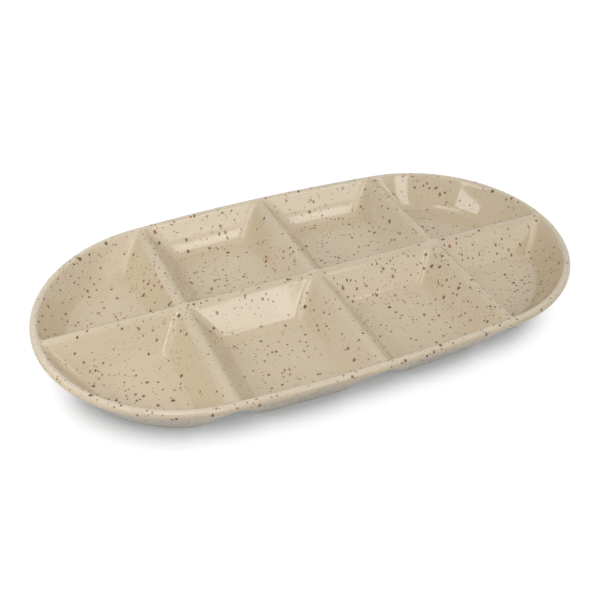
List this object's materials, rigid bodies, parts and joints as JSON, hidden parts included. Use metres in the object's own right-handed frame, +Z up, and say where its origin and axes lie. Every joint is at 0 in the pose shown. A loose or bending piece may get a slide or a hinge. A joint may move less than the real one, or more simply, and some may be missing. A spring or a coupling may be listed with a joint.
{
  "type": "divided serving dish",
  "caption": "Shallow long-oval stoneware serving dish with sloping, flat-floored wells between ridge-like dividers, for snacks, dips or tapas.",
  "frame": {"origin": "under the middle of the dish, on the table that it stands on", "axes": "+X along the length of the dish, +Y across it to the back, +Z up"},
  "size_m": [0.36, 0.1976, 0.025],
  "materials": {
    "speckled_glaze": "glossy warm beige stoneware glaze with fine brown iron speckles"
  },
  "bodies": {
    "root": {"rim": "speckled_glaze", "long_divider": "speckled_glaze", "front_left_divider": "speckled_glaze", "front_middle_divider": "speckled_glaze", "front_right_divider": "speckled_glaze", "back_left_divider": "speckled_glaze", "back_middle_divider": "speckled_glaze", "back_right_divider": "speckled_glaze", "front_left_end_well": "speckled_glaze", "front_left_middle_well": "speckled_glaze", "front_right_middle_well": "speckled_glaze", "front_right_end_well": "speckled_glaze", "back_left_end_well": "speckled_glaze", "back_left_middle_well": "speckled_glaze", "back_right_middle_well": "speckled_glaze", "back_right_end_well": "speckled_glaze"}
  },
  "joints": []
}
